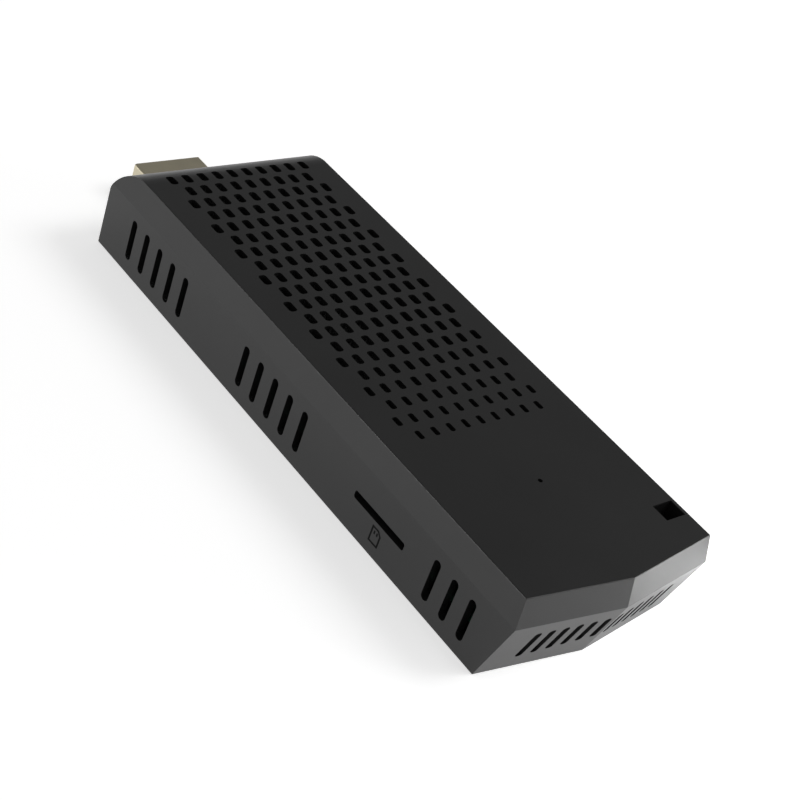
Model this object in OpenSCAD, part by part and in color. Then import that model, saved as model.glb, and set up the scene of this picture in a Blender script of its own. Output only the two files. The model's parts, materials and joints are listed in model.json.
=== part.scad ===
// Stick computer with a display plug: a two-shell vented case, a board, its ports and a heat sink.
// +X points to the port side, +Y to the display plug, +Z up.
// The origin lies on the base plane, under the middle of the whole outline.

/* [Case] */
// Length of the case from its plug end to the tip of the nose
body_l = 113.8; // [112:0.2:130]
// Height of the case
body_h = 17.2; // [16:0.1:22]
// Width across the top face
top_w = 38.1; // [36:0.1:42]
// Width across the parting line
crease_w = 39.7; // [38:0.1:44]
// Width across the base
base_w = 39.7; // [38:0.1:44]
// Height of the parting line above the base
crease_z = 12.3; // [11:0.1:13]
// Wall of both shells
wall = 1.6; // [1.2:0.1:2]
// Radius of the outer edges
edge_r = 0.15; // [0.1:0.05:0.8]
// Radius of the rounded top edge at the plug end
end_r = 9; // [8.6:0.1:11]
// Length over which that edge falls away
end_run = 8.45; // [7.5:0.05:8.5]
// Height of the overlapping lip inside the parting line
lap_h = 1; // [0.6:0.1:1.6]

/* [Nose] */
// Sweep of each nose facet away from square
nose_angle = 7.8; // [4:0.1:14]
// Set-back of the nose at the top face
nose_top = 1.1; // [0.4:0.1:2]
// Set-back of the nose at the base
nose_base = 3.4; // [1:0.1:5]

/* [Top vents] */
// Rows of vents along the top
vent_rows = 20; // [8:1:20]
// Vents in a long row, short rows have one less
vent_columns = 10; // [6:1:10]
// Spacing of the vents across the case
vent_pitch_x = 3.07; // [2.6:0.01:3.3]
// Spacing of the rows
vent_pitch_y = 3.62; // [3.2:0.02:3.8]
// First row, from the plug end
vent_start = 8.05; // [7.5:0.05:12]
// Width of a full vent
vent_w = 1.5; // [1:0.05:1.8]
// Length of a full vent
vent_l = 2.55; // [1.8:0.05:2.8]
// Corner radius of a vent
vent_r = 0.55; // [0.2:0.05:0.7]
// Rows at the nose end that shrink step by step
vent_fade_rows = 7; // [1:1:8]
// Size that the last row keeps
vent_fade = 0.64; // [0.6:0.02:1]

/* [Side slots] */
// Width of a side slot
slot_w = 1.5; // [1:0.1:2]
// Height of a side slot
slot_l = 7.7; // [5:0.1:8.4]
// Height of the middle of the side slots
slot_z = 6.4; // [5.8:0.05:6.6]
// Spacing of the side slots
slot_pitch = 4.14; // [3:0.02:4.3]
// First slot of the plug end group, from the plug end
slot_start = 9; // [8:0.1:10]
// First slot of the middle group, from the plug end
slot_middle = 44.2; // [43:0.1:48]
// Slots in each of those two groups
slot_count = 5; // [2:1:5]
// First slot of the nose group, from the nose tip
slot_nose = 19.1; // [18.6:0.1:20]
// Slots in the nose group
slot_nose_count = 3; // [1:1:3]
// Slots in each nose facet
facet_slots = 6; // [3:1:6]
// Width of a facet slot
facet_slot_w = 1.2; // [0.8:0.1:1.6]
// Spacing of the facet slots
facet_pitch = 2.5; // [2:0.05:2.6]
// First facet slot, from the middle
facet_start = 1.35; // [1:0.05:2]
// Upper end of the facet slots
facet_top = 9.6; // [9:0.1:10]
// Lower end of the slot nearest the middle
facet_low_in = 4.5; // [3:0.1:6]
// Lower end of the outermost slot
facet_low_out = 3.1; // [2.5:0.1:5]

/* [Tether eye] */
// Width of the eye across the case
eye_w = 4.1; // [3:0.1:5]
// Length of the eye along the case
eye_l = 3.3; // [2.5:0.1:3.6]
// Rim between the eye and the edge of the top face
eye_rim = 0.68; // [0.6:0.02:1.4]
// Middle of the eye, from the nose tip
eye_tip = 10.25; // [10:0.05:11]
// Wall of the eye inside the case
eye_wall = 0.9; // [0.7:0.1:1.2]

/* [Board] */
// Underside of the board above the base
board_z = 4.4; // [4.2:0.1:4.8]
// Thickness of the board
board_t = 1.2; // [1:0.1:1.4]
// Gap between the board and the walls
board_gap = 0.6; // [0.4:0.1:1]
// Front edge of the board, from the nose tip
board_tip = 10.3; // [9.8:0.1:12]

/* [Display plug] */
// Length of the plug outside the case
plug_out = 12; // [11:0.1:13]
// Width of the plug
plug_w = 13.9; // [13.8:0.05:14]
// Height of the plug
plug_h = 4.45; // [4.4:0.05:4.5]
// Width of the plug's narrow side
plug_narrow = 10.4; // [9.6:0.1:11.6]
// Height of the plug's slanted corners
plug_bevel = 1.7; // [1.2:0.1:2]
// Drop of the plug's middle below the board's middle
plug_drop = 0.4; // [0.2:0.1:0.6]
// Length of the plug's shell inside the case
plug_in = 5; // [4:0.1:6]
// Sheet of the plug's shell
plug_sheet = 0.35; // [0.25:0.05:0.4]
// Width of the mouth that takes the socket's tongue
plug_mouth_w = 11.4; // [11:0.1:11.8]
// Depth of that mouth
plug_mouth = 8; // [7:0.1:9]

/* [Type A ports] */
// Width of a port
usb_w = 13.1; // [12.8:0.1:13.6]
// Height of a port
usb_h = 5.7; // [5.5:0.1:5.9]
// Depth of a port
usb_depth = 14; // [12:0.1:15]
// Sheet of a port's shell
usb_sheet = 0.35; // [0.25:0.05:0.4]
// Depth to which the ports sink below the board's underside
usb_sink = 0.9; // [0.4:0.1:1.2]
// Middle of the first port, from the plug end
usb_first = 48.5; // [46:0.1:52]
// Spacing of the two ports
usb_pitch = 19; // [18:0.1:22]
// Thickness of a port's tongue
usb_tongue_t = 1.84; // [1.6:0.02:2]
// Width of a port's tongue
usb_tongue_w = 11.1; // [10:0.1:11.6]

/* [Power port] */
// Width of the power port
power_w = 7.6; // [7.4:0.1:8]
// Height of the power port
power_h = 2.8; // [2.6:0.1:3]
// Depth of the power port
power_depth = 5.6; // [5:0.1:6]
// Middle of the power port, from the plug end
power_at = 22; // [21:0.1:24]
// Sheet of the power port's shell
power_sheet = 0.3; // [0.2:0.05:0.35]

/* [Card socket] */
// Length of the card slit in the wall
card_slit_l = 12.4; // [11.8:0.1:13]
// Height of the card slit
card_slit_h = 1.4; // [1:0.1:1.6]
// Corner radius of the card slit
card_slit_r = 0.4; // [0.1:0.05:0.6]
// Middle of the card socket, from the nose tip
card_tip = 32.1; // [31.8:0.1:32.6]
// Width of the card's path
card_w = 11.2; // [11.1:0.05:11.4]
// Depth of the socket
card_depth = 14.6; // [13:0.1:15]
// Travel of the card's slider
card_travel = 1.2; // [0.8:0.1:1.5]

/* [Power button] */
// Length of the button along the case
key_l = 5; // [4:0.1:5.4]
// Height of the button
key_h = 2.6; // [2:0.1:2.8]
// Middle of the button, from the nose tip
key_tip = 16.2; // [16:0.1:16.6]
// Travel of the button
key_travel = 0.4; // [0.2:0.05:0.5]

/* [Cooling] */
// Middle of the processor, from the plug end
chip_at = 26; // [25:0.1:27]
// Length of the heat sink's base
sink_l = 30; // [28:0.1:31]
// Length of each of its two screw ears
sink_ear = 4.8; // [4.6:0.1:5.2]
// Number of fins
fin_count = 9; // [4:1:10]
// Thickness of a fin
fin_t = 1; // [0.6:0.1:1.2]
// Gap between the fins and the top wall
fin_gap = 1.2; // [0.6:0.1:2]

/* [Light] */
// Middle of the status light, from the nose tip
light_tip = 22.5; // [22:0.1:23]
// Diameter of its hole in the top
light_d = 0.8; // [0.6:0.1:1.2]

/* [Hidden] */
$fn = 48;

// Reach of cutting tools past a face, and the clearances
past = 1;
big = 200;
fit = 0.1;
port_gap = 0.2;

// Places along the case
y_end = (body_l - plug_out) / 2;
y_tip = y_end - body_l;
function from_end(d) = y_end - d;
function from_tip(d) = y_tip + d;

// Half width of the outside at a height
function blend(a, b, t) = a + (b - a) * t;
function side_x(z) = z < crease_z
  ? blend(base_w, crease_w, z / crease_z) / 2
  : blend(crease_w, top_w, (z - crease_z) / (body_h - crease_z)) / 2;

// Board and the heights that stand on it
board_top = board_z + board_t;
board_half = min(side_x(board_z), side_x(board_top)) - wall - board_gap;
board_far = from_end(wall + board_gap);
board_r = 0.8;
board_near = from_tip(board_tip);

// Case screws, their bosses in the base and their posts under the top
screw_r = 1;
screw_clear = 0.15;
screw_l = 9;
pilot_gap = 0.05;
pilot_spare = 0.5;
head_r = 1.9;
head_h = 1.4;
head_sink = 2.2;
head_gap = 0.2;
cross_l = 2.2;
cross_w = 0.5;
cross_deep = 0.8;
post_r = 2;
boss_r = 2.4;
post_z = 8;
screw_x = min(side_x(0), side_x(crease_z)) - wall - post_r - fit;

// Board screws and heat sink screws share one size
small_head_r = 1.7;
small_head_h = 1.2;
board_post_r = 2;
board_screw_l = 3.4;
board_screw_x = 12.5;
board_screw_end = 6.5;
board_screw_mid = 3;
board_screw_tip = 13.8;
board_places = [
  [-board_screw_x, from_end(board_screw_end)],
  [board_screw_x, from_end(board_screw_end)],
  [board_screw_mid, from_tip(board_screw_tip)]
];

// Processor, pad and heat sink
chip_w = 17;
chip_t = 0.5;
die_w = 12;
die_l = 10;
die_t = 0.7;
pad_t = 0.5;
pedestal_h = 1.4;
sink_base = 1.2;
sink_gap = 0.9;
sink_half = screw_x - boss_r - sink_gap;
sink_z = board_top + chip_t + die_t + pad_t + pedestal_h;
sink_top = body_h - wall - fin_gap;
sink_y = from_end(chip_at);
sink_screw_x = 8.5;
sink_places = [for (s = [-1, 1]) [s * sink_screw_x, sink_y + s * (sink_l - sink_ear) / 2]];
spacer_r = 2.2;
sink_screw_hold = 1.8;
sink_screw_l = sink_z + sink_base - board_z + sink_screw_hold;

// Packages on the board
package_h = 1;
package_cut = 0.8;
small_h = 0.8;
memory_w = 7.6;
memory_l = 11;
memory_xs = [-11.6, -2.8];
memory_ds = [52, 65];
storage_w = 10;
storage_l = 11;
storage_gap = 0.3;
regulator_w = 7;
regulator_x = 8.5;
regulator_tip = 19.9;
coil_w = 3.6;
coil_h = 1.6;
coil_r = 0.6;
coil_x = -4;
coil_ds = [47, 53, 59];
crystal_w = 2.5;
crystal_l = 3.2;
crystal_rim = 0.2;
crystal_base = 0.3;
crystal_r = 0.4;
crystal_x = -11;
crystal_shift = 4;
capacitor_w = 1.6;
capacitor_end = 0.35;
capacitor_lip = 0.04;
capacitor_pitch = 2.4;
capacitor_shift = 10;
radio_w = 12;
radio_l = 8.2;
radio_t = 0.6;
radio_can = 1.3;
radio_r = 0.5;
radio_x = -7;
radio_tip = 15.5;
antenna_w = 7;
antenna_l = 1.6;
antenna_tip = 12.2;

// Display plug
plug_z = board_z + board_t / 2 - plug_drop;
plug_tip_y = y_end + plug_out;
plug_back_y = from_end(plug_in);
plug_seat = 2.2;
plug_notch_y = from_end(plug_in + plug_seat);
plug_notch_gap = 0.4;
plug_lip = 0.4;
plug_r = 0.4;
plug_fit = 0.05;
pin_count_over = 10;
pin_count_under = 9;
pin_w = 0.45;
pin_t = 0.2;
pin_pitch = 1;
pin_tail = 1.8;
pin_recess = 1;
plug_mouth_z = board_z - pin_t;
plug_mouth_h = board_t + 2 * pin_t;
latch_w = 2.2;
latch_l = 1.8;
latch_x = 3;
latch_back = 4.4;
ear_w = 1.6;
ear_l = 2;
ear_t = 0.4;

// Type A ports
port_recess = 0.5;
usb_z = board_z - usb_sink + usb_h / 2;
usb_face = side_x(usb_z) - port_recess;
usb_back = usb_face - usb_depth;
usb_notch = 0.25;
usb_r = 0.6;
usb_block = 4;
usb_tongue_low = 0.1;
usb_tongue_recess = 0.8;
usb_pin_w = 1;
usb_pin_t = 0.2;
usb_pins = [-3.5, -1, 1, 3.5];
usb_pin_recess = 3.2;
usb_fast_pins = [-4, -2, 0, 2, 4];
usb_fast_w = 0.6;
usb_fast_l = 1.6;
usb_fast_recess = 0.4;
usb_ear_at = 4.7;
usb_ear_l = 4;

// Power port
power_z = board_top + power_h / 2;
power_face = side_x(power_z) - port_recess;
power_y = from_end(power_at);
power_gap = 0.35;
power_r = 0.3;
power_narrow = 5.3;
power_slant = 1.1;
power_block = 1.6;
power_tongue_w = 3.7;
power_tongue_t = 0.6;
power_pin_pitch = 0.65;
power_pin_w = 0.4;
power_pin_t = 0.15;

// Card socket
card_base_t = 0.5;
card_path_h = 1.05;
card_sheet = 0.25;
card_rail = 1;
card_channel = 1.3;
card_lip = 0.5;
card_back_wall = 1;
card_z = board_top + card_base_t + card_path_h / 2;
card_wall_gap = 0.3;
card_mouth_x = card_wall_gap + wall - side_x(card_z);
card_y = from_tip(card_tip);
card_high_y = card_y + card_w / 2;
card_low_y = card_y - card_w / 2;
card_pins = 8;
card_pin_pitch = 1.1;
card_pin_w = 0.7;
card_pin_l = 5;
card_pin_t = 0.15;
card_pin_free = 1;
slider_l = 6;
slider_h = 0.85;
slider_arm = 1;
slider_reach = 1.4;
slider_gap = 0.4;

// Places of the case screws: one pair beside a row of vents, one pair beside the card socket
post_row_count = 7;
boss_gap = 0.4;
screw_low_y = card_low_y - card_rail - card_sheet - boss_gap - boss_r;
screw_ys = [from_end(vent_start + post_row_count * vent_pitch_y), screw_low_y];
screw_places = [for (x = [-screw_x, screw_x]) for (y = screw_ys) [x, y]];

// Power button and its switch
switch_h = 3.4;
switch_l = 5;
switch_w = 3.4;
key_z = board_top + switch_h / 2;
key_y = from_tip(key_tip);
key_face = side_x(key_z);
key_in = key_face - wall;
key_r = 0.7;
key_dish = 0.1;
key_dish_r = 8;
key_gap = 0.15;
flange_t = 0.9;
flange_over = 0.7;
plunger_r = 0.8;
plunger_free = 0.7;
plunger_in = 0.9;
plunger_gap = 0.2;
flange_x = key_in - fit - flange_t;
switch_x = flange_x - plunger_free;

// Share of the vents' fade that shortens them too, and their corners, at most half round
vent_fade_l = 0.7;
vent_corner = min(vent_r, vent_w / 2 - fit);

// Tether eye
eye_x = top_w / 2 - eye_rim - eye_w / 2;
eye_y = from_tip(eye_tip);

// Status light
light_y = from_tip(light_tip);
led_w = 2;
led_l = 1.2;
led_h = 0.8;
pipe_r = 1;
pipe_gap = 0.2;
pipe_recess = 1;
sleeve_l = 5;
sleeve_wall = 0.85;
sleeve_gap = 0.04;

// Helpers

function hundredth(v) = round(v * 100) / 100;
function unit(v) = v / norm(v);
function arm(p, i, step) = unit(p[(i + step + len(p)) % len(p)] - p[i]);
function convex(p, i) = cross(arm(p, i, 1), arm(p, i, -1)) > 0;
function half_angle(p, i) = acos(arm(p, i, 1) * arm(p, i, -1)) / 2;
function corner_cut(p, i, r) = [for (s = [-1, 1]) p[i] + arm(p, i, s) * r / tan(half_angle(p, i))];
function corner_points(p, i, r) = convex(p, i) ? corner_cut(p, i, r) : [p[i]];
function corner_centre(p, i, r) = p[i] + unit(arm(p, i, 1) + arm(p, i, -1)) * r / sin(half_angle(p, i));

// Outline, listed anticlockwise, with every outer corner rounded to one radius
module outline(p, r) {
  if (r > 0) {
    polygon([for (i = [0:len(p) - 1]) each corner_points(p, i, r)]);
    for (i = [0:len(p) - 1]) if (convex(p, i)) translate(corner_centre(p, i, r)) circle(r = r);
  } else {
    polygon(p);
  }
}

// Rounded rectangle about its middle
module panel(w, l, r) {
  outline([[-w / 2, -l / 2], [w / 2, -l / 2], [w / 2, l / 2], [-w / 2, l / 2]], r);
}

// Upright slot with round ends, about its middle
module slot(w, l) {
  square([w, l - w], center = true);
  for (s = [-1, 1]) translate([0, s * (l - w) / 2]) circle(d = w);
}

// Outline with two bevelled corners on its narrow side, as display and power plugs have
module keyed_outline(w, h, narrow, bevel, r) {
  outline([[-narrow / 2, -h / 2], [narrow / 2, -h / 2], [w / 2, bevel - h / 2], [w / 2, h / 2],
    [-w / 2, h / 2], [-w / 2, bevel - h / 2]], r);
}

// Outlines drawn in Y and Z, or in X and Z, and run along the third axis
module along_x(l) rotate([90, 0, 90]) linear_extrude(l) children();
module along_y(l) rotate([90, 0, 0]) linear_extrude(l) children();

// Block with its middle at a place, standing on a height
module block(x, y, z, w, l, h) translate([x - w / 2, y - l / 2, z]) cube([w, l, h]);

// Everything between two heights
module slab(low, high) translate([-big / 2, -big / 2, low]) cube([big, big, high - low]);

// Case outline across its length
module section(inset, r) {
  base = base_w / 2 - inset;
  crease = crease_w / 2 - inset;
  top = top_w / 2 - inset;
  outline([[-base, 0], [base, 0], [crease, crease_z], [top, body_h], [-top, body_h], [-crease, crease_z]], r);
}

// Case outline from the side, with the rounded top edge at the plug end
module side_profile(inset, r) {
  end = y_end - inset;
  arc_y = y_end - end_run;
  arc_z = body_h - end_r;
  intersection() {
    union() {
      translate([y_tip - past, inset]) square([arc_y - y_tip + past, body_h - 2 * inset]);
      translate([arc_y, inset]) square([end - arc_y, arc_z - inset]);
      intersection() {
        translate([arc_y, arc_z]) circle(r = end_r - inset, $fn = 96);
        translate([arc_y, arc_z]) square([end - arc_y, end_r]);
      }
    }
    outline([[end - big, inset], [end, inset], [end, body_h + big], [end - big, body_h + big]], r);
  }
}

// One facet of the nose: everything behind it
module nose_half(inset, r, side) {
  front = [[nose_top + inset, body_h], [inset, crease_z], [nose_base + inset, 0]];
  translate([0, y_tip, 0]) rotate([0, 0, side * nose_angle]) translate([-big / 2, 0, 0]) along_x(big)
    outline(concat(front, [[big, 0], [big, body_h]]), r);
}

// The case as one solid, drawn in by an inset
module case_solid(inset, r = 0) {
  intersection() {
    translate([0, y_end + past, 0]) along_y(body_l + 2 * past) section(inset, r);
    translate([-crease_w / 2 - base_w / 2, 0, 0]) along_x(crease_w + base_w) side_profile(inset, r);
    nose_half(inset, r, 1);
    nose_half(inset, r, -1);
  }
}

module case_skin() {
  difference() {
    case_solid(0, edge_r);
    case_solid(wall);
  }
}

// Vents of the top face: rows shift by half a pitch and shrink towards the nose, mostly in width.
// Their half sizes fall on hundredths, so that rounded corners meet straight sides exactly.
module vent_field() {
  for (row = [0:vent_rows - 1]) {
    count = vent_columns - row % 2;
    step = max(0, row - (vent_rows - 1 - vent_fade_rows)) / vent_fade_rows;
    size = blend(1, vent_fade, step);
    half_w = hundredth(vent_w * size / 2);
    half_l = hundredth(vent_l * blend(1, size, vent_fade_l) / 2);
    for (i = [0:count - 1])
      translate([(i - (count - 1) / 2) * vent_pitch_x, from_end(vent_start + row * vent_pitch_y)])
        panel(2 * half_w, 2 * half_l, hundredth(vent_corner * size));
  }
}

// Upright tube of the tether eye, and its opening
module eye_tube(low, high) {
  intersection() {
    translate([eye_x - eye_w / 2 - eye_wall, eye_y - eye_l / 2 - eye_wall, low])
      cube([eye_w + eye_wall + wall + past, eye_l + 2 * eye_wall, high - low]);
    case_solid(wall / 2);
  }
}
module eye_hole() block(eye_x, eye_y, -past, eye_w, eye_l, body_h + 2 * past);

// Side slots on one wall
module wall_slots(side, places) {
  for (y = places) translate([side * crease_w / 2, y, slot_z]) rotate([90, 0, 90])
    linear_extrude(4 * wall, center = true) slot(slot_w, slot_l);
}

// Slots in one nose facet, shorter towards the middle and no deeper than its wall
module facet_cuts(side) {
  for (i = [0:facet_slots - 1]) {
    x = facet_start + i * facet_pitch;
    low = blend(facet_low_in, facet_low_out, i / (facet_slots - 1));
    wall_y = (blend(nose_base, 0, low / crease_z) + wall) / cos(nose_angle);
    deep = wall_y + (x + facet_slot_w / 2) * tan(nose_angle) + port_gap;
    translate([side * x, from_tip(deep), (facet_top + low) / 2]) along_y(deep + past)
      slot(facet_slot_w, facet_top - low);
  }
}

// Opening through the right wall for a port, with an outline drawn in Y and Z
module right_window(y, z) translate([side_x(z) - 2 * wall, y, z]) along_x(4 * wall) children();

// Pan head screw: head below, shank upwards
module screw(length, r_head, h_head) {
  difference() {
    union() {
      cylinder(r = screw_r, h = length);
      translate([0, 0, -h_head]) cylinder(r = r_head, h = h_head);
    }
    for (a = [0, 90]) rotate([0, 0, a])
      block(0, 0, -h_head - past, cross_l, cross_w, cross_deep + past);
  }
}

module at_places(places) for (p = places) translate([p[0], p[1], 0]) children();

// Case

module top_shell() color([0.13, 0.13, 0.13]) difference() {
  union() {
    intersection() {
      case_skin();
      slab(crease_z, body_h + past);
    }
    intersection() {
      difference() {
        case_solid(wall / 2 + fit);
        case_solid(wall);
      }
      slab(crease_z - lap_h, crease_z + wall / 2);
    }
    at_places(screw_places) translate([0, 0, post_z]) cylinder(r = post_r, h = body_h - wall / 2 - post_z);
    eye_tube(crease_z - lap_h, body_h);
    translate([0, light_y, body_h - wall - sleeve_l])
      cylinder(r = pipe_r + sleeve_gap + sleeve_wall, h = sleeve_l + wall / 2);
  }
  translate([0, 0, body_h - 3 * wall]) linear_extrude(4 * wall) vent_field();
  translate([0, light_y, 0]) cylinder(d = light_d, h = body_h + past);
  translate([0, light_y, 0]) cylinder(r = pipe_r + sleeve_gap, h = body_h - wall);
  eye_hole();
  at_places(screw_places) translate([0, 0, post_z - past])
    cylinder(r = screw_r + pilot_gap, h = past + head_sink + screw_l - post_z + pilot_spare);
}

module bottom_shell() color([0.15, 0.15, 0.15]) difference() {
  union() {
    intersection() {
      case_skin();
      slab(-past, crease_z);
    }
    at_places(screw_places) translate([0, 0, wall / 2]) cylinder(r = boss_r, h = post_z - wall / 2);
    at_places(concat(board_places, sink_places)) translate([0, 0, wall / 2])
      cylinder(r = board_post_r, h = board_z - wall / 2);
    eye_tube(wall / 2, crease_z - lap_h - fit);
  }
  intersection() {
    case_solid(wall / 2);
    slab(crease_z - lap_h - fit, crease_z + past);
  }
  eye_hole();
  for (d = [slot_start, slot_middle])
    wall_slots(-1, [for (i = [0:slot_count - 1]) from_end(d + i * slot_pitch)]);
  wall_slots(-1, [for (i = [0:slot_nose_count - 1]) from_tip(slot_nose - i * slot_pitch)]);
  wall_slots(1, [for (i = [0, 1]) from_end(slot_start + i * slot_pitch)]);
  for (s = [-1, 1]) facet_cuts(s);
  translate([-crease_w / 2 - past, card_y, card_z]) along_x(2 * wall + past)
    panel(card_slit_l, card_slit_h, min(card_slit_r, card_slit_h / 2 - fit));
  translate([0, y_end + past, plug_z]) along_y(2 * wall)
    keyed_outline(plug_w + 2 * port_gap, plug_h + 2 * port_gap, plug_narrow + port_gap, plug_bevel, plug_r);
  for (i = [0, 1]) right_window(from_end(usb_first + i * usb_pitch), usb_z)
    panel(usb_w + 2 * port_gap, usb_h + 2 * port_gap, usb_r);
  right_window(power_y, power_z) panel(power_w + 2 * power_gap, power_h + 2 * power_gap, key_r);
  right_window(key_y, key_z) panel(key_l + 2 * key_gap, key_h + 2 * key_gap, key_r + key_gap);
  at_places(screw_places) {
    translate([0, 0, -past]) cylinder(r = screw_r + screw_clear, h = post_z + 2 * past);
    translate([0, 0, -past]) cylinder(r = head_r + head_gap, h = head_sink + past);
  }
  at_places(concat(board_places, sink_places)) translate([0, 0, wall])
    cylinder(r = screw_r + pilot_gap, h = board_z);
}

module case_screws() color([0.35, 0.35, 0.36])
  at_places(screw_places) translate([0, 0, head_sink]) screw(screw_l, head_r, head_h);

// Board and what is soldered to it

module main_board() color([0.03, 0.12, 0.09]) translate([0, 0, board_z]) difference() {
  corner_x = eye_x - eye_w / 2 - eye_wall - board_gap;
  corner_y = eye_y + eye_l / 2 + eye_wall + board_gap;
  translate([0, (board_far + board_near) / 2, 0]) linear_extrude(board_t)
    panel(2 * board_half, board_far - board_near, board_r);
  translate([-plug_w / 2 - plug_notch_gap, plug_notch_y, -past])
    cube([plug_w + 2 * plug_notch_gap, big, board_t + 2 * past]);
  for (i = [0, 1]) at_port(i) translate([usb_back - usb_notch, -usb_w / 2 - usb_notch, -past])
    cube([big, usb_w + 2 * usb_notch, board_t + 2 * past]);
  translate([corner_x, corner_y - big, -past]) cube([big, big, board_t + 2 * past]);
  at_places(screw_places) translate([0, 0, -past]) cylinder(r = boss_r + board_gap, h = board_t + 2 * past);
  at_places(concat(board_places, sink_places)) translate([0, 0, -past])
    cylinder(r = screw_r + screw_clear, h = board_t + 2 * past);
}

module board_screws() color([0.6, 0.6, 0.62])
  at_places(board_places) translate([0, 0, board_top]) mirror([0, 0, 1])
    screw(board_screw_l, small_head_r, small_head_h);

module processor() color([0.1, 0.25, 0.16]) {
  block(0, sink_y, board_top, chip_w, chip_w, chip_t);
  block(0, sink_y, board_top + chip_t, die_w, die_l, die_t);
}

// Chip package, with one corner cut off beside its first pin
module package(x, y, w, l) {
  translate([x, y, board_top]) linear_extrude(package_h) polygon([[-w / 2, -l / 2], [w / 2, -l / 2],
    [w / 2, l / 2], [package_cut - w / 2, l / 2], [-w / 2, l / 2 - package_cut]]);
}

module memory_chips() color([0.08, 0.08, 0.09])
  for (x = memory_xs) for (d = memory_ds) package(x, from_end(d), memory_w, memory_l);

module storage_chip() color([0.08, 0.08, 0.09])
  package(card_mouth_x + card_depth + storage_gap + storage_w / 2, card_y, storage_w, storage_l);

module power_chip() color([0.08, 0.08, 0.09])
  package(regulator_x, from_tip(regulator_tip), regulator_w, regulator_w);

module power_inductors() color([0.2, 0.2, 0.21])
  for (d = coil_ds) translate([coil_x, from_end(d), board_z - coil_h])
    linear_extrude(coil_h) panel(coil_w, coil_w, coil_r);

module clock_crystals() color([0.75, 0.75, 0.76])
  for (s = [-1, 1]) translate([crystal_x, sink_y + s * crystal_shift, board_top]) {
    linear_extrude(crystal_base) panel(crystal_w, crystal_l, crystal_rim);
    linear_extrude(small_h) panel(crystal_w - 2 * crystal_rim, crystal_l - 2 * crystal_rim, crystal_r);
  }

module board_capacitors() color([0.55, 0.42, 0.28])
  for (s = [-1, 1]) for (i = [-2:2]) translate([i * capacitor_pitch, sink_y + s * capacitor_shift, 0]) {
    block(0, 0, board_top, capacitor_w, small_h, small_h);
    for (e = [-1, 1]) block(e * (capacitor_w - capacitor_end) / 2, 0, board_top,
      capacitor_end, small_h + 2 * capacitor_lip, small_h + capacitor_lip);
  }

module wireless_module() color([0.7, 0.7, 0.71]) translate([radio_x, from_tip(radio_tip), board_top]) {
  block(0, 0, 0, radio_w, radio_l, radio_t);
  linear_extrude(radio_t + radio_can) panel(radio_w - radio_t, radio_l - radio_t, radio_r);
}

module chip_antenna() color([0.85, 0.82, 0.72])
  block(regulator_x, from_tip(antenna_tip), board_top, antenna_w, antenna_l, package_h);

module status_led() color([0.9, 0.9, 0.85]) block(0, light_y, board_top, led_w, led_l, led_h);

module light_pipe() color([0.8, 0.85, 0.9, 0.6]) translate([0, light_y, 0]) {
  low = board_top + led_h + pipe_gap;
  high = body_h - wall;
  translate([0, 0, low]) cylinder(r = pipe_r, h = high - low);
  translate([0, 0, high]) cylinder(r = light_d / 2 - sleeve_gap, h = wall - pipe_recess);
}

// Cooling

module thermal_pad() color([0.55, 0.6, 0.68])
  block(0, sink_y, board_top + chip_t + die_t, die_w, die_l, pad_t);

module heat_sink() color([0.2, 0.2, 0.22]) difference() {
  union() {
    block(0, sink_y, sink_z - pedestal_h, chip_w, chip_w, pedestal_h);
    block(0, sink_y, sink_z, 2 * sink_half, sink_l, sink_base);
    for (i = [0:fin_count - 1])
      block(blend(-1, 1, i / (fin_count - 1)) * (sink_half - fin_t / 2), sink_y, sink_z + sink_base,
        fin_t, sink_l - 2 * sink_ear, sink_top - sink_z - sink_base);
  }
  at_places(sink_places) cylinder(r = screw_r + screw_clear, h = body_h);
}

module sink_spacers() color([0.8, 0.66, 0.35])
  at_places(sink_places) translate([0, 0, board_top]) difference() {
    cylinder(r = spacer_r, h = sink_z - board_top);
    translate([0, 0, -past]) cylinder(r = screw_r + screw_clear, h = sink_z);
  }

module sink_screws() color([0.6, 0.6, 0.62])
  at_places(sink_places) translate([0, 0, sink_z + sink_base]) mirror([0, 0, 1])
    screw(sink_screw_l, small_head_r, small_head_h);

// Display plug

module plug_outline(inset) {
  keyed_outline(plug_w - 2 * inset, plug_h - 2 * inset, plug_narrow - inset, plug_bevel, plug_r);
}

module plug_shell() color([0.72, 0.68, 0.58]) {
  length = plug_tip_y - plug_back_y;
  difference() {
    translate([0, plug_tip_y, plug_z]) along_y(length) plug_outline(0);
    translate([0, plug_tip_y + past, plug_z]) along_y(length + 2 * past) plug_outline(plug_sheet);
    for (s = [-1, 1])
      block(s * latch_x, plug_tip_y - latch_back, plug_z - plug_h, latch_w, latch_l, plug_h);
  }
  for (s = [-1, 1])
    block(s * (plug_w + ear_w) / 2, plug_back_y + ear_l / 2, board_top, ear_w, ear_l, ear_t);
}

// Contact bars straddle the board, with those below shifted by half a pitch
module plug_row(count, z, front, length) {
  for (i = [0:count - 1])
    block((i - (count - 1) / 2) * pin_pitch, front - length / 2, z, pin_w, length, pin_t);
}
module plug_bars() {
  front = plug_tip_y - plug_lip - pin_recess;
  length = front - plug_notch_y + pin_tail;
  plug_row(pin_count_over, board_top, front, length);
  plug_row(pin_count_under, board_z - pin_t, front, length);
}

module plug_insulator() color([0.05, 0.05, 0.05]) difference() {
  front = plug_tip_y - plug_lip;
  translate([0, front, plug_z]) along_y(front - plug_notch_y) plug_outline(plug_sheet + plug_fit);
  translate([-plug_mouth_w / 2, front - plug_mouth, plug_mouth_z])
    cube([plug_mouth_w, plug_mouth + past, plug_mouth_h]);
  plug_bars();
}

module plug_contacts() color([0.85, 0.68, 0.3]) plug_bars();

// Type A ports, drawn with their middle at Y = 0

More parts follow.
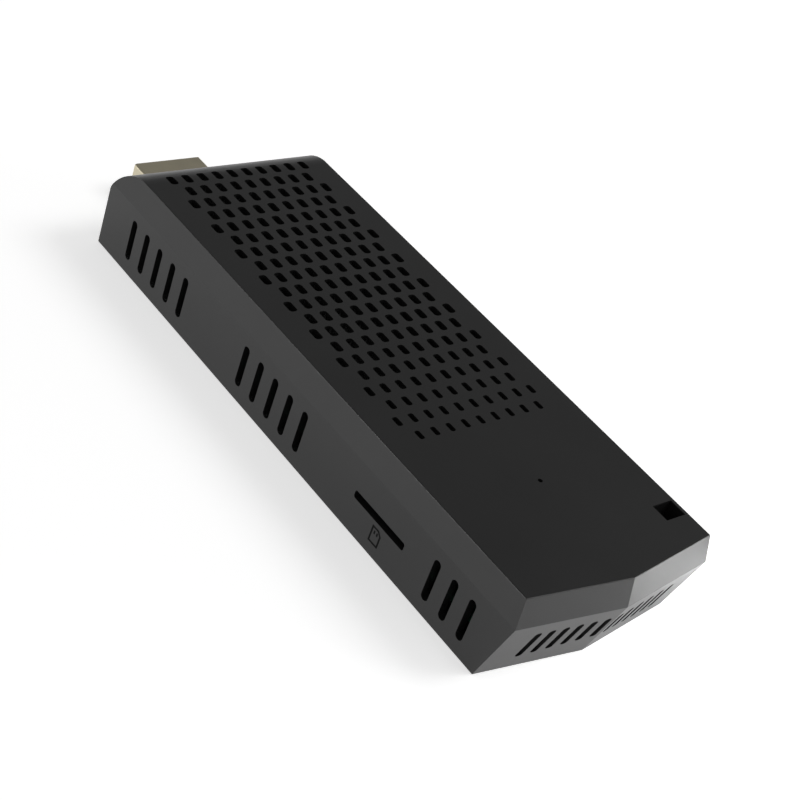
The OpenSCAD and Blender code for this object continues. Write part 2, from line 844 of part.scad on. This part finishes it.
module usb_shell() color([0.75, 0.75, 0.76]) {
  difference() {
    translate([usb_back, 0, usb_z]) along_x(usb_depth) panel(usb_w, usb_h, usb_r);
    translate([usb_back + usb_sheet, 0, usb_z]) along_x(usb_depth)
      panel(usb_w - 2 * usb_sheet, usb_h - 2 * usb_sheet, usb_r - usb_sheet);
  }
  for (s = [-1, 1])
    block(usb_back + usb_ear_at, s * (usb_w + ear_w) / 2, board_top, usb_ear_l, ear_w, ear_t);
}

module usb_tongue() color([0.05, 0.05, 0.06]) {
  inner_w = usb_w - 2 * usb_sheet - 2 * fit;
  inner_h = usb_h - 2 * usb_sheet - 2 * fit;
  translate([usb_back + usb_sheet, 0, usb_z]) along_x(usb_block) panel(inner_w, inner_h, fit);
  translate([usb_back + usb_sheet + usb_block, -usb_tongue_w / 2, usb_z + usb_tongue_low])
    cube([usb_depth - usb_sheet - usb_block - usb_tongue_recess, usb_tongue_w, usb_tongue_t]);
}

module usb_contacts(fast) color([0.85, 0.68, 0.3]) {
  start = usb_back + usb_sheet + usb_block;
  end = usb_face - usb_tongue_recess;
  low = usb_z + usb_tongue_low - usb_pin_t;
  for (y = usb_pins)
    translate([start, y - usb_pin_w / 2, low]) cube([end - start - usb_pin_recess, usb_pin_w, usb_pin_t]);
  if (fast) for (y = usb_fast_pins)
    translate([end - usb_fast_recess - usb_fast_l, y - usb_fast_w / 2, low])
      cube([usb_fast_l, usb_fast_w, usb_pin_t]);
}

module at_port(i) translate([0, from_end(usb_first + i * usb_pitch), 0]) children();
module usb_port_a_shell() at_port(0) usb_shell();
module usb_port_a_tongue() at_port(0) usb_tongue();
module usb_port_a_contacts() at_port(0) usb_contacts(true);
module usb_port_b_shell() at_port(1) usb_shell();
module usb_port_b_tongue() at_port(1) usb_tongue();
module usb_port_b_contacts() at_port(1) usb_contacts(false);

// Power port

module power_outline(inset) {
  r = power_r - inset / 2;
  keyed_outline(power_w - 2 * inset, power_h - 2 * inset, power_narrow - inset, power_slant, r);
}

module power_port_shell() color([0.75, 0.75, 0.76]) {
  back = power_face - power_depth;
  difference() {
    translate([back, power_y, power_z]) along_x(power_depth) power_outline(0);
    translate([back + power_sheet, power_y, power_z]) along_x(power_depth) power_outline(power_sheet);
  }
}

module power_port_tongue() color([0.05, 0.05, 0.06]) {
  start = power_face - power_depth + power_sheet;
  translate([start, power_y, power_z]) along_x(power_block) power_outline(power_sheet + plug_fit);
  translate([start + power_block, power_y - power_tongue_w / 2, power_z])
    cube([power_depth - power_sheet - power_block - port_recess, power_tongue_w, power_tongue_t]);
}

module power_port_contacts() color([0.85, 0.68, 0.3]) {
  start = power_face - power_depth + power_sheet + power_block;
  for (i = [-2:2])
    translate([start, power_y + i * power_pin_pitch - power_pin_w / 2, power_z - power_pin_t])
      cube([power_face - 2 * port_recess - start, power_pin_w, power_pin_t]);
}

// Card socket: the card goes in along +X

module card_socket_base() color([0.06, 0.06, 0.07]) translate([card_mouth_x, 0, board_top]) {
  low = card_low_y - card_rail;
  high = card_high_y + card_channel + card_lip;
  wall_h = card_base_t + card_path_h;
  translate([0, low, 0]) cube([card_depth, high - low, card_base_t]);
  translate([0, low, 0]) cube([card_depth, card_rail, wall_h]);
  translate([0, high - card_lip, 0]) cube([card_depth, card_lip, wall_h]);
  translate([card_depth - card_back_wall, low, 0]) cube([card_back_wall, high - low, wall_h]);
}

module card_socket_cover() color([0.75, 0.75, 0.76]) translate([card_mouth_x, 0, board_top]) {
  low = card_low_y - card_rail - card_sheet;
  high = card_high_y + card_channel + card_lip;
  height = card_base_t + card_path_h;
  translate([0, low, height]) cube([card_depth, high + card_sheet - low, card_sheet]);
  for (y = [low, high]) translate([0, y, 0]) cube([card_depth, card_sheet, height]);
}

module card_socket_contacts() color([0.85, 0.68, 0.3]) {
  back = card_mouth_x + card_depth - card_back_wall - card_travel - slider_arm - card_pin_free;
  for (i = [0:card_pins - 1])
    block(back - card_pin_l / 2, card_y + (i - (card_pins - 1) / 2) * card_pin_pitch, board_top + card_base_t,
      card_pin_l, card_pin_w, card_pin_t);
}

module card_slider() color([0.2, 0.2, 0.22]) {
  back = card_mouth_x + card_depth - card_back_wall - card_travel - slider_gap;
  high = card_high_y + card_channel - fit;
  low = card_high_y + fit;
  z = board_top + card_base_t + fit;
  translate([back - slider_l, low, z]) cube([slider_l, high - low, slider_h]);
  translate([back - slider_arm, low - slider_reach, z])
    cube([slider_arm, high - low + slider_reach, slider_h]);
}

// Power button: it slides along X through the right wall

module power_button() color([0.17, 0.17, 0.17]) difference() {
  cap_x = flange_x + flange_t;
  union() {
    translate([cap_x, key_y, key_z]) along_x(key_face - cap_x) panel(key_l, key_h, key_r);
    translate([flange_x, key_y, key_z]) along_x(flange_t) panel(key_l + 2 * flange_over, key_h, key_r);
  }
  translate([key_face + key_dish_r - key_dish, key_y, key_z]) rotate([90, 0, 0])
    cylinder(r = key_dish_r, h = key_l + 2 * past, center = true);
}

module power_switch_plunger() color([0.85, 0.85, 0.82])
  translate([switch_x - plunger_in, key_y, key_z]) rotate([0, 90, 0])
    cylinder(r = plunger_r, h = plunger_in + plunger_free);

module power_switch_body() color([0.6, 0.6, 0.62]) difference() {
  translate([switch_x - switch_w, key_y - switch_l / 2, board_top]) cube([switch_w, switch_l, switch_h]);
  translate([switch_x - plunger_in - key_travel - plunger_gap, key_y, key_z]) rotate([0, 90, 0])
    cylinder(r = plunger_r + fit, h = switch_w);
}

top_shell();
bottom_shell();
case_screws();
main_board();
board_screws();
processor();
memory_chips();
storage_chip();
power_chip();
power_inductors();
clock_crystals();
board_capacitors();
wireless_module();
chip_antenna();
thermal_pad();
heat_sink();
sink_spacers();
sink_screws();
plug_shell();
plug_insulator();
plug_contacts();
usb_port_a_shell();
usb_port_a_tongue();
usb_port_a_contacts();
usb_port_b_shell();
usb_port_b_tongue();
usb_port_b_contacts();
power_port_shell();
power_port_tongue();
power_port_contacts();
card_socket_base();
card_socket_cover();
card_socket_contacts();
card_slider();
power_button();
power_switch_body();
power_switch_plunger();
status_led();
light_pipe();
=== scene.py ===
"""Looks of a stick computer: finishes, fine trim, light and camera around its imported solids."""
import json
import math

import bmesh
import bpy
from mathutils import Matrix, Vector


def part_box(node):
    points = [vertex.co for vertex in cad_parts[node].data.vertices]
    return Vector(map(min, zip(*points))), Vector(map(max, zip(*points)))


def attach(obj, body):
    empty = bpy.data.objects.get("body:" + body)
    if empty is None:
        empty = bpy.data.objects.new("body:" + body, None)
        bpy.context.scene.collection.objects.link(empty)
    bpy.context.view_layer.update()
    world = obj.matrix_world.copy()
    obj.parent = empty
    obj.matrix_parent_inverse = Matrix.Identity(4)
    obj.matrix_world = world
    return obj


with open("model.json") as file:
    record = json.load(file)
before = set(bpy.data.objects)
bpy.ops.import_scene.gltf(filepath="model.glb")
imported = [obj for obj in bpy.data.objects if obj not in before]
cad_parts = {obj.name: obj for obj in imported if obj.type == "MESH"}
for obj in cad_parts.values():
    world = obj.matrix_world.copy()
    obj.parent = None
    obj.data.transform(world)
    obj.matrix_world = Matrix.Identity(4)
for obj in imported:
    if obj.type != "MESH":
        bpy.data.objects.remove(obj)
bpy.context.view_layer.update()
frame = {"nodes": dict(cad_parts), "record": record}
nodes = frame["nodes"]
scene = bpy.context.scene
scene.view_settings.view_transform = "Standard"

# Lengths are written in millimetres and turned into metres
MM = 0.001


def mm(*values):
    """A point or a size in metres, from millimetres."""
    return Vector(values) * MM


# Finishes

# Noise stays mostly between these two values
NOISE_LOW = 0.3
NOISE_HIGH = 0.7

# Moulded plastic: clouds of colour and sheen, as grain, shares of the colour and steps of roughness
MOULD_CLOUD = 14
MOULD_DARK = 0.9
MOULD_PALE = 1.12
MOULD_SHEEN = 5
MOULD_SHEEN_STEP = 0.01

# Plated metal, in the same way
PLATE_CLOUD = 3.5
PLATE_DULL = 0.93
PLATE_PALE = 1.05
PLATE_SHEEN = 0.6
PLATE_SHEEN_STEP = 0.02
PLATE_GRAIN = 0.1

# Board: solder mask over copper tracks
TRACK_RUN = 4.2
TRACK_PITCH = 0.9
TRACK_W = 0.2
TRACK_RELIEF = 0.02
TRACK_STAGGER = 0.37
TRACK_SQUASH = 0.6
TRACK_SOFT = 0.1
MASK_SHEEN = 2
MASK_ROUGHNESS = 0.35
MASK_SMOOTH = 0.3
MASK_DULL = 0.42

CASE_SPECULAR = 0.35
# Low reflection of the card sign's film, so that it stays dark as painted shade of the engraving
SIGN_SHADE_SPECULAR = 0.06
PIPE_IOR = 1.49
PIPE_CLEARNESS = 0.7


class Finish:
    """A material with one principled shader, and the node patterns that the finishes share."""

    def __init__(self, name, colour, roughness, metallic=0.0):
        self.name = name
        self.material = bpy.data.materials.new(name)
        self.material.use_nodes = True
        self.tree = self.material.node_tree
        self.shader = self.tree.nodes["Principled BSDF"]
        self.set("Base Color", (*colour, 1))
        self.set("Roughness", roughness)
        self.set("Metallic", metallic)
        self.place = self.node("ShaderNodeTexCoord").outputs["Object"]

    def set(self, socket, value):
        """Gives the shader a value that is the same all over the surface."""
        self.shader.inputs[socket].default_value = value

    def node(self, kind, **settings):
        """Adds a node with its settings."""
        made = self.tree.nodes.new(kind)
        for key, value in settings.items():
            setattr(made, key, value)
        return made

    def link(self, source, target):
        """Joins an output to an input."""
        self.tree.links.new(source, target)

    def stretched(self, stretch):
        """Coordinates drawn out along an axis, for brushed and turned surfaces."""
        scaled = self.node("ShaderNodeVectorMath", operation="MULTIPLY")
        scaled.inputs[1].default_value = stretch
        self.link(self.place, scaled.inputs[0])
        return scaled.outputs["Vector"]

    def noise(self, grain, detail=2.0, stretch=None):
        """Noise whose features are about grain millimetres wide."""
        made = self.node("ShaderNodeTexNoise")
        made.inputs["Scale"].default_value = 1 / (grain * MM)
        made.inputs["Detail"].default_value = detail
        self.link(self.stretched(stretch) if stretch else self.place, made.inputs["Vector"])
        return made.outputs["Fac"]

    def tracks(self, run, pitch, width):
        """Straight lines with staggered cross links, in millimetres, as the copper on a board runs."""
        made = self.node("ShaderNodeTexBrick", offset=TRACK_STAGGER, squash=TRACK_SQUASH)
        made.inputs["Scale"].default_value = 1 / MM
        made.inputs["Brick Width"].default_value = run
        made.inputs["Row Height"].default_value = pitch
        made.inputs["Mortar Size"].default_value = width / 2
        made.inputs["Mortar Smooth"].default_value = TRACK_SOFT
        self.link(self.place, made.inputs["Vector"])
        return made.outputs["Fac"]

    def ramp(self, pattern, low, high, start, end):
        """The pattern between start and end, spread from low to high."""
        made = self.node("ShaderNodeMapRange", clamp=True)
        for socket, value in (("From Min", start), ("From Max", end), ("To Min", low), ("To Max", high)):
            made.inputs[socket].default_value = value
        self.link(pattern, made.inputs["Value"])
        return made.outputs["Result"]

    def tint(self, pattern, dark, pale, start=NOISE_LOW, end=NOISE_HIGH):
        """Base colour that runs from dark to pale along a pattern."""
        mix = self.node("ShaderNodeMix", data_type="RGBA")
        # The node also has inputs and outputs of other data types under the same names
        first, second = [socket for socket in mix.inputs if socket.type == "RGBA"]
        result = next(socket for socket in mix.outputs if socket.type == "RGBA")
        first.default_value = (*dark, 1)
        second.default_value = (*pale, 1)
        self.link(self.ramp(pattern, 0, 1, start, end), mix.inputs["Factor"])
        self.link(result, self.shader.inputs["Base Color"])

    def gloss(self, pattern, low, high):
        """Roughness that runs from low to high along a pattern."""
        rough = self.ramp(pattern, low, high, NOISE_LOW, NOISE_HIGH)
        self.link(rough, self.shader.inputs["Roughness"])

    def bump(self, pattern, height):
        """Relief of a height in millimetres."""
        made = self.node("ShaderNodeBump")
        made.inputs["Strength"].default_value = 1.0
        made.inputs["Distance"].default_value = height * MM
        self.link(pattern, made.inputs["Height"])
        self.link(made.outputs["Normal"], self.shader.inputs["Normal"])


def grey(value, warm=0.0):
    """A grey, or a slightly warm one."""
    return (value * (1 + warm), value, value * (1 - warm))


def moulded(name, value, roughness, grain=0.22, relief=0.006, specular=0.5):
    """Moulded plastic with a fine spark-eroded grain."""
    finish = Finish(name, grey(value), roughness)
    finish.set("Specular IOR Level", specular)
    finish.tint(finish.noise(MOULD_CLOUD, 4), grey(value * MOULD_DARK), grey(value * MOULD_PALE))
    finish.gloss(finish.noise(MOULD_SHEEN, 3), roughness - MOULD_SHEEN_STEP, roughness + MOULD_SHEEN_STEP)
    finish.bump(finish.noise(grain, 3), relief)
    return finish


def plated(name, colour, roughness, along=(1, 1, 1), relief=0.0006):
    """Plated sheet with faint rolling marks and handling haze."""
    finish = Finish(name, colour, roughness, metallic=1.0)
    pale = tuple(min(1, part * PLATE_PALE) for part in colour)
    dull = tuple(part * PLATE_DULL for part in colour)
    finish.tint(finish.noise(PLATE_CLOUD, 4), dull, pale)
    sheen = finish.noise(PLATE_SHEEN, 2, along)
    finish.gloss(sheen, roughness - PLATE_SHEEN_STEP, roughness + PLATE_SHEEN_STEP)
    finish.bump(finish.noise(PLATE_GRAIN, 2, along), relief)
    return finish


def laminate(name, mask, copper):
    """Solder mask with the copper tracks showing through as paler lines."""
    finish = Finish(name, mask, MASK_ROUGHNESS)
    tracks = finish.tracks(TRACK_RUN, TRACK_PITCH, TRACK_W)
    finish.tint(tracks, mask, copper, 0, 1)
    finish.gloss(finish.noise(MASK_SHEEN, 3), MASK_SMOOTH, MASK_DULL)
    finish.bump(tracks, TRACK_RELIEF)
    return finish


# Near-black, weakly reflecting film of the card sign: painted shade of the engraved sign
sign_shade = moulded("sign_shade", 0.003, 0.7, 0.15, 0.002, SIGN_SHADE_SPECULAR)
port_steel = plated("port_steel", grey(0.62, 0.02), 0.24, (0.08, 1, 1))
led_lens = Finish("led_lens", (0.75, 0.75, 0.66), 0.2)
led_lens.tint(led_lens.noise(0.4), (0.68, 0.68, 0.58), (0.8, 0.8, 0.72))
pipe_clear = Finish("pipe_clear", (0.12, 0.13, 0.14), 0.12)
pipe_clear.set("IOR", PIPE_IOR)
pipe_clear.set("Transmission Weight", PIPE_CLEARNESS)
pipe_clear.gloss(pipe_clear.noise(0.5), 0.08, 0.2)

# One finish for each material slot of the record
slot_finishes = (
    moulded("case_plastic", 0.012, 0.37, 0.2, 0.003, CASE_SPECULAR),
    moulded("key_plastic", 0.011, 0.34, 0.3, 0.002, CASE_SPECULAR),
    moulded("port_plastic", 0.012, 0.42, 0.3, 0.002),
    moulded("chip_black", 0.012, 0.5, 0.12, 0.004),
    moulded("ferrite", 0.05, 0.6, 0.15, 0.01),
    moulded("ceramic", 0.2, 0.45),
    moulded("antenna_ceramic", 0.6, 0.4),
    moulded("plunger_plastic", 0.55, 0.45),
    moulded("pad_silicone", 0.34, 0.7, 0.4, 0.02),
    plated("sink_aluminium", grey(0.05), 0.45, (1, 0.06, 1)),
    plated("plug_nickel", (0.57, 0.52, 0.385), 0.3, (1, 0.08, 1), 0.0002),
    port_steel,
    plated("can_metal", grey(0.55), 0.34),
    plated("contact_gold", (0.83, 0.6, 0.24), 0.2),
    plated("spacer_brass", (0.72, 0.52, 0.22), 0.28, (1, 1, 0.1)),
    plated("screw_steel", grey(0.14), 0.32),
    laminate("board_laminate", (0.006, 0.035, 0.022), (0.02, 0.085, 0.05)),
    laminate("chip_carrier", (0.012, 0.06, 0.03), (0.03, 0.1, 0.055)),
    led_lens,
    pipe_clear,
)
FINISHES = {finish.name: finish for finish in slot_finishes}

for subpart in frame["record"]["subparts"]:
    mesh = nodes[subpart["node"]].data
    mesh.materials.clear()
    mesh.materials.append(FINISHES[subpart["material_slot"]].material)


# Thin trim

# Points closer than this are one
WELD = 0.001

# Card sign under the card slit, engraved in the wall; drawn as a thin film on the wall whose near-black
# colour is painted shade of the engraving
SIGN_W = 2.3
SIGN_H = 3.0
SIGN_CUT = 0.75
SIGN_STROKE = 0.32
SIGN_SHADE_FILM = 0.01
SIGN_DROP = 3.0
SIGN_SHIFT = -0.4
SIGN_PADS = 2
SIGN_PAD_H = 0.6

# Contact springs inside each port shell
PORT_SHEET = 0.35
SPRING_T = 0.15
SPRING_W = 2.2
SPRING_SPREAD = 2.9
SPRING_TOP_RISE = 0.18
SPRING_BASE_RISE = 0.4
# Side view of a spring from root to lip: distance behind the mouth, and share of the rise
SPRING_LINE = (
    (6.2, 0),
    (3.6, 0.8),
    (2.9, 1),
    (2.1, 0.9),
    (1.2, 0.1),
)


def solid(name, faces, depth):
    """Closed piece made by drawing flat faces, lists of points in metres, out along a depth vector."""
    made = bmesh.new()
    for face in faces:
        made.faces.new([made.verts.new(point) for point in face])
    bmesh.ops.remove_doubles(made, verts=made.verts, dist=WELD * MM)
    drawn = bmesh.ops.extrude_face_region(made, geom=list(made.faces), use_keep_orig=True)
    corners = [part for part in drawn["geom"] if isinstance(part, bmesh.types.BMVert)]
    bmesh.ops.translate(made, verts=corners, vec=depth)
    bmesh.ops.recalc_face_normals(made, faces=made.faces)
    mesh = bpy.data.meshes.new(name)
    made.to_mesh(mesh)
    made.free()
    piece = bpy.data.objects.new(name, mesh)
    scene.collection.objects.link(piece)
    return piece


def dress(piece, finish):
    """Fixes a piece to the case and gives it its finish."""
    piece.data.materials.append(finish.material)
    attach(piece, "case")


def card_outline(inset):
    """Corners of a card with one cut corner, drawn in by an inset."""
    w = SIGN_W / 2 - inset
    h = SIGN_H / 2 - inset
    cut = SIGN_CUT - inset * (2 - math.sqrt(2))
    return [(-w, -h), (w, -h), (w, h - cut), (w - cut, h), (-w, h)]


def rectangle(across, up, width, height):
    """Corners of a rectangle about its middle."""
    sides = ((-1, -1), (1, -1), (1, 1), (-1, 1))
    return [(across + i * width / 2, up + j * height / 2) for i, j in sides]


def card_sign():
    """Outline of a memory card with its contact pads."""
    slit = next(mount for mount in frame["record"]["mounts"] if mount["name"] == "card_slot")
    middle = Vector(slit["pos_m"]) + mm(0, SIGN_SHIFT, -SIGN_DROP)
    outer = card_outline(0)
    inner = card_outline(SIGN_STROKE)
    corners = range(len(outer))
    flat = [[outer[i - 1], outer[i], inner[i], inner[i - 1]] for i in corners]
    pad_up = SIGN_H / 2 - 2 * SIGN_STROKE - SIGN_PAD_H / 2
    pad_step = 2 * SIGN_STROKE
    pad_start = 2 * SIGN_STROKE + SIGN_STROKE / 2 - SIGN_W / 2
    flat += [rectangle(pad_start + i * pad_step, pad_up, SIGN_STROKE, SIGN_PAD_H) for i in range(SIGN_PADS)]
    faces = [[middle + mm(SIGN_SHADE_FILM, -across, up) for across, up in face] for face in flat]
    return solid("card_sign", faces, mm(-2 * SIGN_SHADE_FILM, 0, 0))


def spring_faces(mouth, wall, side, rise):
    """Side view of one spring, from its root in the shell's sheet over its crest to its lip."""
    line = [(back, share * rise) for back, share in SPRING_LINE]
    low = [mouth + mm(-back, 0, 0) + Vector((0, 0, wall - side * lift * MM)) for back, lift in line]
    high = [point - mm(0, 0, side * SPRING_T) for point in low]
    return [[low[i], low[i + 1], high[i + 1], high[i]] for i in range(len(line) - 1)]


def port_springs(port):
    """Two springs on the upper and two on the lower sheet of a port."""
    low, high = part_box(f"{port}_shell")
    faces = []
    for side, wall, rise in ((1, high.z, SPRING_TOP_RISE), (-1, low.z, SPRING_BASE_RISE)):
        inner = wall - side * PORT_SHEET * MM
        for across in (-SPRING_SPREAD, SPRING_SPREAD):
            mouth = Vector((high.x, (low.y + high.y) / 2 + (across - SPRING_W / 2) * MM, 0))
            faces += spring_faces(mouth, inner, side, rise)
    return solid(f"{port}_springs", faces, mm(0, SPRING_W, 0))


# The card sign's film carries the painted shade of the engraving
dress(card_sign(), sign_shade)
for port in ("usb_port_a", "usb_port_b"):
    dress(port_springs(port), port_steel)


# Floor and world

FLOOR_SIZE = 12000
FLOOR_DROP = 0.05
FLOOR_WHITE = 0.75
FLOOR_ROUGHNESS = 0.9
# Share of the floor's white that the camera, mirrors and glass see without any lamp
FLOOR_GLOW = 0.61

bpy.ops.mesh.primitive_plane_add(size=FLOOR_SIZE * MM, location=mm(0, 0, -FLOOR_DROP))
floor = bpy.context.object
floor.name = "floor"
floor_finish = Finish("floor_white", grey(FLOOR_WHITE), FLOOR_ROUGHNESS)
floor_finish.set("Specular IOR Level", 0.0)
floor_finish.set("Emission Color", (1, 1, 1, 1))
seen_by = floor_finish.node("ShaderNodeLightPath")
mirrored = floor_finish.node("ShaderNodeMath", operation="ADD")
seen = floor_finish.node("ShaderNodeMath", operation="ADD", use_clamp=True)
glow = floor_finish.node("ShaderNodeMath", operation="MULTIPLY")
glow.inputs[1].default_value = FLOOR_GLOW
floor_finish.link(seen_by.outputs["Is Glossy Ray"], mirrored.inputs[0])
floor_finish.link(seen_by.outputs["Is Transmission Ray"], mirrored.inputs[1])
floor_finish.link(seen_by.outputs["Is Camera Ray"], seen.inputs[0])
floor_finish.link(mirrored.outputs["Value"], seen.inputs[1])
floor_finish.link(seen.outputs["Value"], glow.inputs[0])
floor_finish.link(glow.outputs["Value"], floor_finish.shader.inputs["Emission Strength"])
floor.data.materials.append(floor_finish.material)

# The room is as pale as the far floor along the horizon and grey above it
HORIZON = 0.82
CEILING = 0.28
HORIZON_TOP = 0.0
CEILING_START = 0.1

world = bpy.data.worlds.new("studio")
scene.world = world
world.use_nodes = True
sky = world.node_tree
direction = sky.nodes.new("ShaderNodeTexCoord")
split = sky.nodes.new("ShaderNodeSeparateXYZ")
fade = sky.nodes.new("ShaderNodeMapRange")
fade.inputs["From Min"].default_value = HORIZON_TOP
fade.inputs["From Max"].default_value = CEILING_START
fade.inputs["To Min"].default_value = HORIZON
fade.inputs["To Max"].default_value = CEILING
sky.links.new(direction.outputs["Generated"], split.inputs["Vector"])
sky.links.new(split.outputs["Z"], fade.inputs["Value"])
sky.links.new(fade.outputs["Result"], sky.nodes["Background"].inputs["Color"])


# Lamps


def aimed(place, target):
    """Turn for an object at place that looks at target."""
    return (Vector(target) - Vector(place)).to_track_quat("-Z", "Y").to_euler()


def softbox(name, place, target, width, height, level, spread=180):
    """Rectangular lamp, in millimetres, with its beam in degrees.

    At level 1 and full spread a facing white card at the target renders as white.
    """
    lamp = bpy.data.lights.new(name, "AREA")
    lamp.shape = "RECTANGLE"
    lamp.size = width * MM
    lamp.size_y = height * MM
    lamp.spread = math.radians(spread)
    lamp.energy = level * (math.pi * (mm(*target) - mm(*place)).length) ** 2
    made = bpy.data.objects.new(name, lamp)
    made.location = mm(*place)
    made.rotation_euler = aimed(place, target)
    made.visible_camera = False
    scene.collection.objects.link(made)


MIDDLE = (0, 0, 12)
NOSE = (0, -50, 8)
FRONT_FLOOR = (15, -112, 0)
RIGHT_FLOOR = (40, -74, 0)
softbox("key", (420, -280, 640), NOSE, 350, 350, 0.38)
softbox("left_strip", (-2040, 720, 33), MIDDLE, 900, 66, 0.44)
softbox("right_strip", (600, -400, 50), NOSE, 400, 90, 0.8)
# These two light the floor before the nose, which the nose mirrors, and with their soft edge the nose
softbox("front_wash", (20, -150, 160), FRONT_FLOOR, 50, 50, 0.062, 40)
softbox("right_wash", (60, -70, 110), RIGHT_FLOOR, 16, 16, 0.107, 24)


# Camera, solved from the photograph

VIEW_TARGET = mm(-0.68, -10.09, 8.5)
VIEW_DISTANCE = 275.56 * MM
VIEW_AZIMUTH = math.radians(-49.513)
VIEW_ELEVATION = math.radians(34.863)
VIEW_ROLL = math.radians(20.622)
LENS = 77.90
SENSOR = 36

forward = Vector((
    -math.sin(VIEW_AZIMUTH) * math.cos(VIEW_ELEVATION),
    math.cos(VIEW_AZIMUTH) * math.cos(VIEW_ELEVATION),
    -math.sin(VIEW_ELEVATION),
))
sideways = forward.cross(Vector((0, 0, 1))).normalized()
right = Matrix.Rotation(-VIEW_ROLL, 3, forward) @ sideways
up = right.cross(forward)

camera_data = bpy.data.cameras.new("camera")
camera_data.sensor_width = SENSOR
camera_data.lens = LENS
camera = bpy.data.objects.new("camera", camera_data)
turn = Matrix((right, up, -forward)).transposed().to_4x4()
camera.matrix_world = Matrix.Translation(VIEW_TARGET - forward * VIEW_DISTANCE) @ turn
scene.collection.objects.link(camera)
scene.camera = camera
